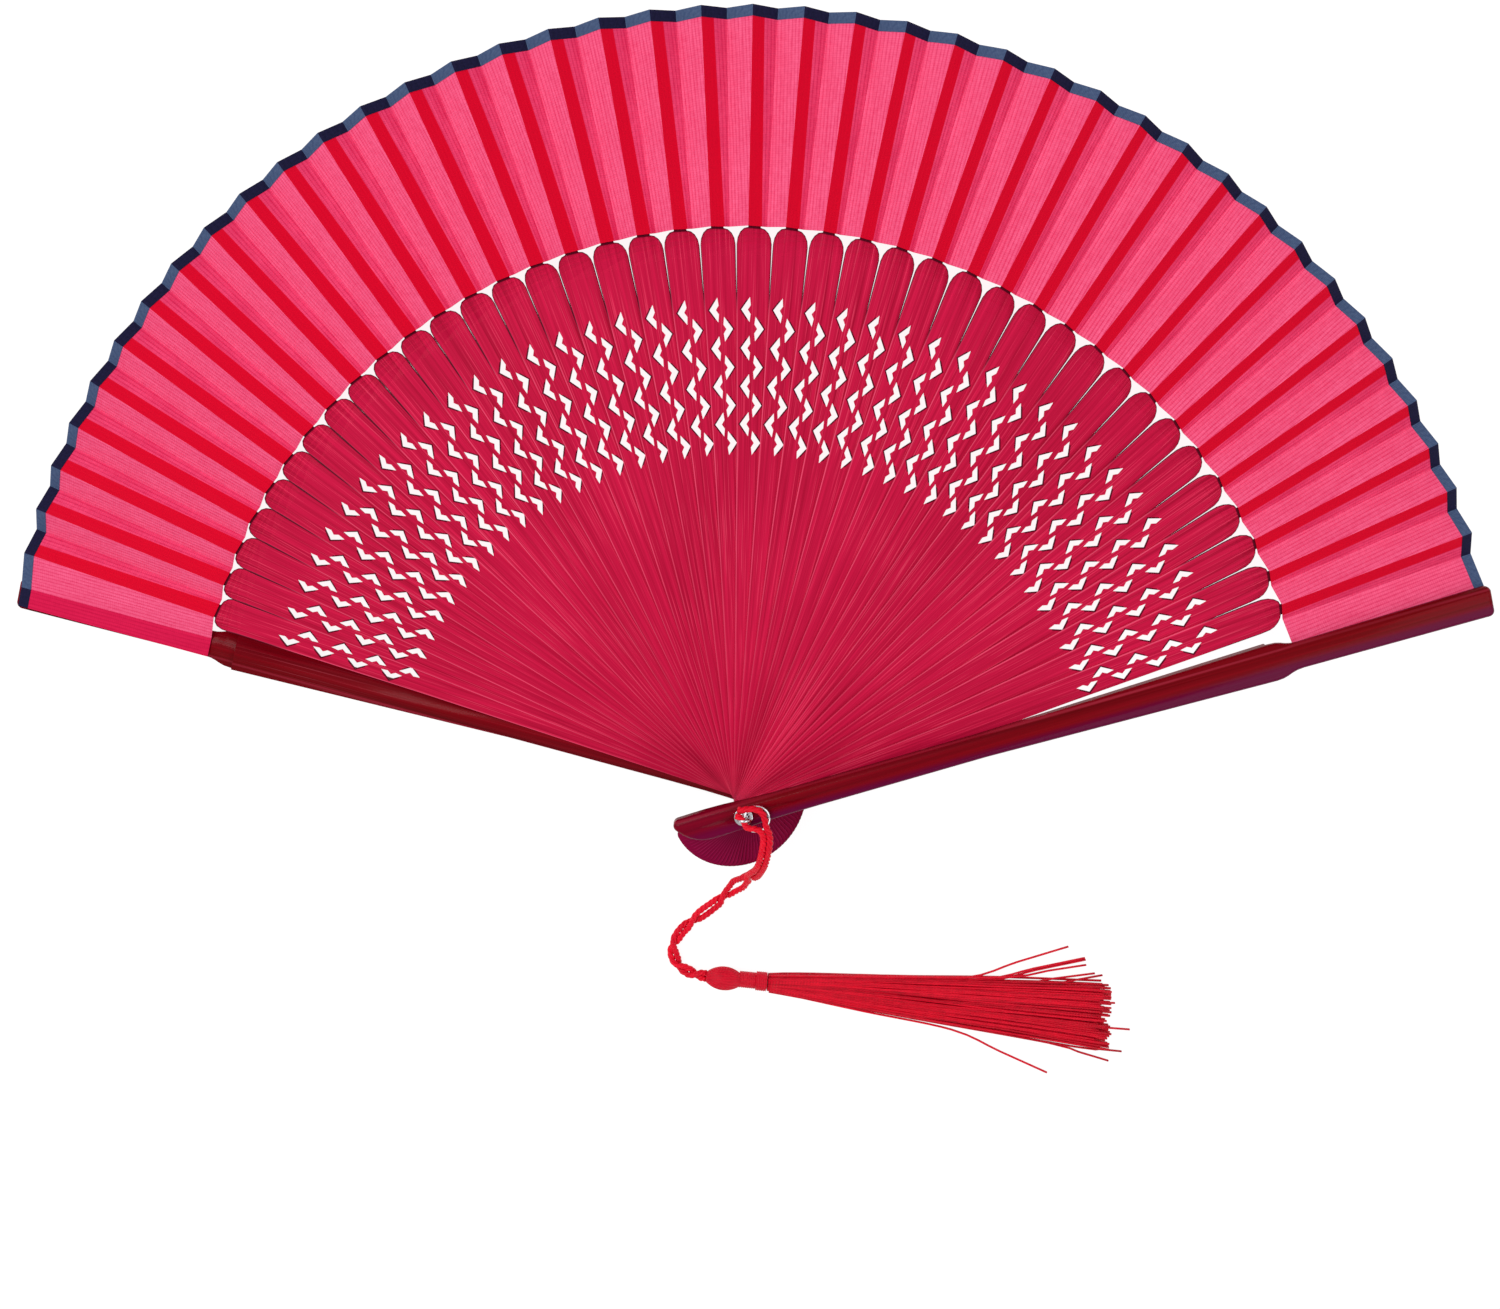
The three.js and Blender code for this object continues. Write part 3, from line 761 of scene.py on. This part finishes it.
def add_leaf():
    slip = (0.68, 0.0, 0.022)
    # Painted shade and light: each pleat's left-hand panel is a darker copy of the silk, and its
    # right-hand panel a lighter one. The left-hand panel also shows the rib's slip through it.
    shaded_over_slip = make_silk("silk_over_slip", (0.58, 0.006, 0.065), (1.0, 0.09, 0.23), 0.5, slip)
    silk = make_silk("silk", (0.70, 0.015, 0.09), (1.0, 0.15, 0.31), 0.25)
    over_guard = make_silk("silk_over_guard", (0.50, 0.002, 0.045), (0.78, 0.012, 0.085), 0.4)
    # Painted shade and light on the binding: one navy tape, darker on each pleat's left-hand panel
    # and lighter on its right-hand one.
    dark = make_binding("binding_shaded", (0.004, 0.004, 0.022), (0.014, 0.012, 0.05))
    light = make_binding("binding_lit", (0.035, 0.06, 0.14), (0.08, 0.12, 0.22))
    for gap in range(GAPS):
        cloths = [over_guard if gap == 0 else shaded_over_slip, silk]
        add_pleat(gap, cloths, [dark, light])


# ---- Ribs and guards ----


def copy_node(node, turn, lift):
    """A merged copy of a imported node's mesh, turned about the pin and lifted."""
    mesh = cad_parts[node].data.copy()
    made = bmesh.new()
    made.from_mesh(mesh)
    bmesh.ops.remove_doubles(made, verts=made.verts, dist=1e-6)
    made.transform(Matrix.Rotation(turn, 4, "Z") @ Matrix.Translation((0, 0, lift)))
    made.to_mesh(mesh)
    made.free()
    mesh.materials.clear()
    for layer in list(mesh.uv_layers):
        mesh.uv_layers.remove(layer)
    return mesh


def map_surface(mesh):
    """Maps a stick that lies along +Y: across its width, and along its length."""
    layer = mesh.uv_layers.new(name="surface")
    for loop in mesh.loops:
        co = mesh.vertices[loop.vertex_index].co
        layer.data[loop.index].uv = (co.x, co.y)


def add_ribs(bamboo):
    upright = copy_node("rib_01", QUARTER_TURN - stick_angle(1), -(rib_top(1) - RIB_THICKNESS))
    map_surface(upright)
    upright.materials.append(bamboo)
    for k in range(1, RIBS + 1):
        mesh = upright.copy()
        lift = rib_top(k) - RIB_THICKNESS
        turned = Matrix.Rotation(stick_angle(k) - QUARTER_TURN, 4, "Z")
        mesh.transform(Matrix.Translation((0, 0, lift)) @ turned)
        add_seed(mesh, k / RIBS)
        piece = bpy.data.objects.new(f"pierced_rib_{k:02d}", mesh)
        bpy.context.collection.objects.link(piece)
        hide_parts(f"rib_{k:02d}")
        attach(piece, f"rib_{k:02d}")
    bpy.data.meshes.remove(upright)


def add_guard(name, node, k, lacquer):
    mesh = copy_node(node, QUARTER_TURN - stick_angle(k), 0)
    map_surface(mesh)
    mesh.transform(Matrix.Rotation(stick_angle(k) - QUARTER_TURN, 4, "Z"))
    mesh.materials.append(lacquer)
    add_seed(mesh, k / GAPS)
    piece = bpy.data.objects.new(name, mesh)
    bpy.context.collection.objects.link(piece)
    smooth(piece, 50)
    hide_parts(node)
    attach(piece, node)


# ---- Pin, washer and ring ----


def place_primitive(name, material):
    """Names the primitive just added and moves its place into its mesh."""
    piece = bpy.context.object
    piece.name = name
    piece.data.name = name
    bpy.ops.object.transform_apply(location=True, rotation=True, scale=True)
    piece.data.materials.append(material)
    add_seed(piece.data, 0.5)
    return piece


def bevel_edges(piece, width):
    modifier = piece.modifiers.new("Bevel", "BEVEL")
    modifier.width = width
    modifier.segments = 2
    modifier.limit_method = "ANGLE"
    modifier.angle_limit = math.radians(40)
    choose(piece)
    bpy.ops.object.modifier_apply(modifier=modifier.name)


def add_pin(steel):
    """A rivet with a flat head at its lower end, and an eye of wire on its upper one."""
    top = EYE_HEIGHT - EYE_RADIUS
    bpy.ops.object.select_all(action="DESELECT")
    bpy.ops.mesh.primitive_cylinder_add(
        vertices=32,
        radius=PIN_HEAD_RADIUS,
        depth=PIN_HEAD_HEIGHT,
        location=(0, 0, PIN_HEAD_HEIGHT / 2),
    )
    piece = bpy.context.object
    bpy.ops.object.mode_set(mode="EDIT")
    bpy.ops.mesh.select_all(action="DESELECT")
    made = bmesh.from_edit_mesh(piece.data)
    for face in made.faces:
        face.select_set(face.normal.z > 0.9)
    bmesh.update_edit_mesh(piece.data)
    bpy.ops.mesh.inset(thickness=PIN_HEAD_RADIUS - PIN_RADIUS)
    rise = (0, 0, top - PIN_HEAD_HEIGHT)
    bpy.ops.mesh.extrude_region_move(TRANSFORM_OT_translate={"value": rise})
    bpy.ops.object.mode_set(mode="OBJECT")
    pin = place_primitive("pivot_rivet", steel)
    bevel_edges(pin, 0.12 * MM)
    eye = [
        Vector((math.cos(a), 0, math.sin(a))) * EYE_RADIUS + UP * EYE_HEIGHT
        for a in [2 * math.pi * i / 40 for i in range(40)]
    ]
    ring_eye = closed_wire("eye", eye, EYE_WIRE, 10, steel)
    join_into(pin, ring_eye)
    smooth(pin, 40)
    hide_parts("pivot_pin")
    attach(pin, "tassel")


def closed_wire(name, loop, radius, sides, material):
    """A loop of wire round a flat closed line."""
    points, faces = [], []
    count = len(loop)
    centre = sum(loop, Vector()) / count
    for i, here in enumerate(loop):
        along = (loop[(i + 1) % count] - loop[i - 1]).normalized()
        out = (here - centre).normalized()
        other = along.cross(out).normalized()
        for j in range(sides):
            a = 2 * math.pi * j / sides
            points.append(here + (out * math.cos(a) + other * math.sin(a)) * radius)
    for i in range(count):
        for j in range(sides):
            a, b = i * sides + j, i * sides + (j + 1) % sides
            c = ((i + 1) % count) * sides
            faces.append((a, c + j, c + (j + 1) % sides, b))
    piece = make_piece(name, points, faces, [material], seed=0.5)
    face_out(piece)
    return piece


def join_into(piece, other):
    choose(piece)
    other.select_set(True)
    bpy.ops.object.join()


def add_washer(steel):
    low = STACK_TOP + WASHER_GAP
    thick = WASHER_THICKNESS - WASHER_GAP
    bpy.ops.object.select_all(action="DESELECT")
    bpy.ops.mesh.primitive_circle_add(
        vertices=40, radius=WASHER_RADIUS, fill_type="NGON", location=(0, 0, low)
    )
    bpy.ops.object.mode_set(mode="EDIT")
    bpy.ops.mesh.select_all(action="SELECT")
    bpy.ops.mesh.inset(thickness=WASHER_RADIUS - WASHER_HOLE)
    bpy.ops.mesh.delete(type="FACE")
    bpy.ops.mesh.select_all(action="SELECT")
    bpy.ops.mesh.extrude_region_move(TRANSFORM_OT_translate={"value": (0, 0, thick)})
    bpy.ops.mesh.select_all(action="SELECT")
    bpy.ops.mesh.normals_make_consistent(inside=False)
    bpy.ops.object.mode_set(mode="OBJECT")
    washer = place_primitive("eye_washer", steel)
    bevel_edges(washer, 0.07 * MM)
    smooth(washer, 40)
    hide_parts("pin_washer")
    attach(washer, "front_guard")


def add_ring(steel):
    """A split ring: two turns of wire, one on the other, joined by a short step near the middle."""
    turns = 1.92
    first_end = 0.6
    step_start, step_share = 0.46, 0.08
    steps = 96
    line = []
    tilt = Matrix.Rotation(RING_TILT, 3, "Y")
    for i in range(steps + 1):
        t = i / steps
        a = first_end + 2 * math.pi * turns * t
        stepped = min(1, max(0, (t - step_start) / step_share))
        rise = (stepped - 0.5) * RING_TURN_RISE
        local = Vector((RING_RADIUS * (1 + math.cos(a)), RING_RADIUS * math.sin(a), rise))
        line.append(tilt @ local + UP * EYE_HEIGHT)
    ring = join_tubes("split_ring", [tube(line, RING_WIRE, 10)], steel, [0.5])
    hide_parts("tassel_ring")
    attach(ring, "tassel")


# ---- Tassel, built along +X from the cord's end and then turned to its place ----


def place_tassel(piece, nodes):
    piece.data.transform(
        Matrix.Translation(TASSEL_START) @ Matrix.Rotation(TASSEL_ANGLE, 4, "Z")
    )
    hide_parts(nodes)
    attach(piece, "tassel")
    return piece


def turned_form(name, profile, sides, ripple, centre_height, material):
    """A round form along +X through (x, radius) pairs, with threads raised along or round it."""
    points, faces, surface = [], [], []
    for x, radius in profile:
        for j in range(sides):
            a = 2 * math.pi * j / sides
            r = radius * (1 + ripple(x, a))
            points.append(Vector((x, r * math.cos(a), centre_height + r * math.sin(a))))
    for i in range(len(profile) - 1):
        for j in range(sides):
            after = (j + 1) % sides
            a, b = i * sides + j, i * sides + after
            faces.append((a, a + sides, b + sides, b)[::-1])
            u, v = profile[i][0], profile[i + 1][0]
            m, n = [2 * math.pi * HEAD_RADIUS * q / sides for q in (j, j + 1)]
            surface += [(m, u), (m, v), (n, v), (n, u)][::-1]
    last = (len(profile) - 1) * sides
    faces.append(tuple(range(sides))[::-1])
    faces.append(tuple(range(last, last + sides)))
    surface += [(0, profile[0][0])] * sides + [(0, profile[-1][0])] * sides
    piece = make_piece(name, points, faces, [material], None, surface, 0.3)
    face_out(piece)
    piece.data.polygons.foreach_set("use_smooth", [len(f) == 4 for f in faces])
    return piece


def add_tassel_head(thread):
    """A knob of threads pulled over a bead: they run from end to end."""
    strands = 34
    overlap = 0.4 * MM

    def ripple(x, a):
        wave = abs(math.sin(strands * a / 2 + 6 * math.sin(2 * a) * x / HEAD_LENGTH))
        return 0.05 * wave - 0.03 + 0.03 * math.sin(2 * a + 1) * math.sin(math.pi * x / HEAD_LENGTH)

    profile = []
    steps = 28
    for i in range(steps + 1):
        t = i / steps
        arch = max(0.0, math.sin(math.pi * (0.06 + 0.84 * t))) ** 0.55
        profile.append((HEAD_LENGTH * t - overlap * (1 - t), HEAD_RADIUS * 0.97 * arch))
    return turned_form("tassel_knob", profile, 136, ripple, HEAD_RADIUS, thread)


def add_tassel_wrap(thread):
    """A neck of wound thread, with a raised band at its end."""
    profile = []
    thread_pitch = 0.55 * MM
    band_start = 0.62
    steps = 90
    for i in range(steps + 1):
        t = i / steps
        x = WRAP_LENGTH * t
        band = 1 if t > band_start else 0.86
        wind = abs(math.sin(math.pi * x / thread_pitch))
        edge = 0.93 if i in (0, steps) else 1
        profile.append((x, WRAP_RADIUS * band * edge * (0.93 + 0.07 * wind)))
    wrap = turned_form("tassel_neck", profile, 48, lambda x, a: 0, WRAP_RADIUS, thread)
    wrap.data.transform(Matrix.Translation((HEAD_LENGTH - TASSEL_CLEARANCE, 0, 0)))
    return wrap


STRAND_RADIUS = 0.33 * MM
SKIRT_LAYERS = 4
STRANDS_PER_LAYER = 34
LAYER_APART = 1.05 * MM  # at the neck
LAYER_REST = 0.75  # mm, between layers that lie on each other at the far end

# Where a stray strand leaves the skirt, and its end: (x, y) in mm in the tassel's own frame.
STRAYS = [
    ((70, 7.0), (97.5, 18.3)),
    ((75, 7.2), (102.6, 15.5)),
    ((76, 6.9), (102.9, 15.0)),
    ((82, 8.6), (103.3, 13.5)),
    ((83, 6.6), (106.1, 11.3)),
    ((97, 8.6), (108.3, 11.0)),
    ((100, 3.0), (113.2, 3.2)),
    ((104, -3.6), (118.7, -4.2)),
    ((104, -10.0), (117.6, -11.0)),
    ((96, -9.6), (114.4, -14.2)),
    ((68.8, -8.6), (97.8, -19.6)),
]


def strand_line(start, end, sway, lift):
    """A strand of the skirt, from the neck out to its end, with a slight sway."""
    line = []
    steps = 22
    for i in range(steps + 1):
        t = i / steps
        x = start.x + (end.x - start.x) * t
        open_up = t**0.85
        y = start.y + (end.y - start.y) * open_up
        y += sway[0] * math.sin(math.pi * t) * math.sin(2.2 * math.pi * t + sway[1])
        z = start.z + (end.z - start.z) * t**0.6
        z += lift * math.sin(math.pi * t) ** 2
        line.append(Vector((x, y, max(z, 0.4 * MM))))
    return line


def add_skirt(thread):
    """Layers of strands that spread from the neck and lie on each other, and a few strays."""
    rng = random.Random(11)
    tubes, seeds = [], []
    for layer in range(SKIRT_LAYERS):
        off_middle = layer - (SKIRT_LAYERS - 1) / 2
        height = WRAP_RADIUS + off_middle * LAYER_APART
        half = WRAP_RADIUS * 0.8 * math.sqrt(1 - (off_middle / 2.4) ** 2)
        for n in range(STRANDS_PER_LAYER):
            share = (n + rng.uniform(0.2, 0.8)) / STRANDS_PER_LAYER * 2 - 1
            start = Vector((SKIRT_START - 0.6 * MM, share * half, height))
            reach = SKIRT_START + SKIRT_LENGTH - (1.2 * share + rng.uniform(-1.5, 3.5)) * MM
            side = share * (SKIRT_HALF_WIDTH - 0.9 * MM) - 0.4 * MM
            level = (0.45 + LAYER_REST * layer + rng.uniform(-0.15, 0.15)) * MM
            sway = (rng.uniform(-0.5, 0.5) * MM, rng.uniform(0, 6.28))
            end = Vector((reach, side + rng.uniform(-0.4, 0.4) * MM, level))
            line = strand_line(start, end, sway, rng.uniform(-0.1, 0.2) * MM)
            tubes.append(tube(line, STRAND_RADIUS, 5, rng.uniform(0, 1)))
            seeds.append(rng.random())
    for (x, y), (end_x, end_y) in STRAYS:
        corner = Vector((x, y, 2.6)) * MM
        start = Vector((SKIRT_START, 0.25 * y * MM, WRAP_RADIUS + 0.8 * MM))
        low = Vector((end_x, end_y, 0.5)) * MM
        middle = start.lerp(corner, 0.5) + UP * 0.3 * MM
        line = smooth_line([start, middle, corner, corner.lerp(low, 0.5), low], 4 * MM)
        tubes.append(tube(line, STRAND_RADIUS * 0.95, 5))
        seeds.append(rng.random())
    return join_tubes("tassel_strands", tubes, thread, seeds)


def add_tassel(line):
    thread = make_thread("rayon_thread", (0.32, 0.0, 0.010), (0.85, 0.004, 0.030), 0.4 * MM)
    fine = make_thread("rayon_skirt", (0.30, 0.0, 0.008), (0.92, 0.006, 0.032), 0.5 * MM)
    head = place_tassel(add_tassel_head(thread), "tassel_head")
    wrap = place_tassel(add_tassel_wrap(thread), "tassel_wrap")
    place_tassel(add_skirt(fine), "tassel_skirt")
    [tuple(p) for p in line[::3] + [line[-1]]]


# ---- Floor and lights ----


def add_floor():
    bpy.ops.object.select_all(action="DESELECT")
    bpy.ops.mesh.primitive_plane_add(size=6, location=(0, 0, 0))
    floor = bpy.context.object
    floor.name = "floor"
    floor.data.materials.append(make_floor())


def add_light(name, place, target, size, power):
    data = bpy.data.lights.new(name, "AREA")
    data.shape = "RECTANGLE"
    data.size, data.size_y = size
    data.energy = power
    light = bpy.data.objects.new(name, data)
    light.location = place
    aim = Vector(target) - Vector(place)
    light.rotation_euler = aim.to_track_quat("-Z", "Y").to_euler()
    bpy.context.collection.objects.link(light)


def add_lights():
    world = bpy.data.worlds.new("studio")
    bpy.context.scene.world = world
    world.use_nodes = True
    sky = world.node_tree.nodes["Background"]
    sky.inputs["Color"].default_value = (1, 1, 1, 1)
    sky.inputs["Strength"].default_value = 0.5
    add_light("key", (-0.7, 0.55, 1.1), (0, 0.08, 0), (0.9, 0.9), 11)
    add_light("fill", (0.9, -0.5, 1.0), (0, 0.05, 0), (1.2, 0.8), 5.5)


bpy.context.scene.view_settings.view_transform = "Standard"
add_camera()
cord_thread = make_thread("rayon_cord", (0.55, 0.0, 0.016), (0.95, 0.006, 0.030), 0.35 * MM)
cord, cord_path, cord_length = add_cord(cord_thread)
add_tassel(cord_path)
add_leaf()
add_ribs(make_bamboo())
lacquer = make_lacquer()
add_guard("rear_guard_stick", "rear_guard", 0, lacquer)
add_guard("front_guard_stick", "front_guard", GAPS, lacquer)
steel = make_steel()
add_pin(steel)
add_washer(steel)
add_ring(steel)
add_floor()
add_lights()
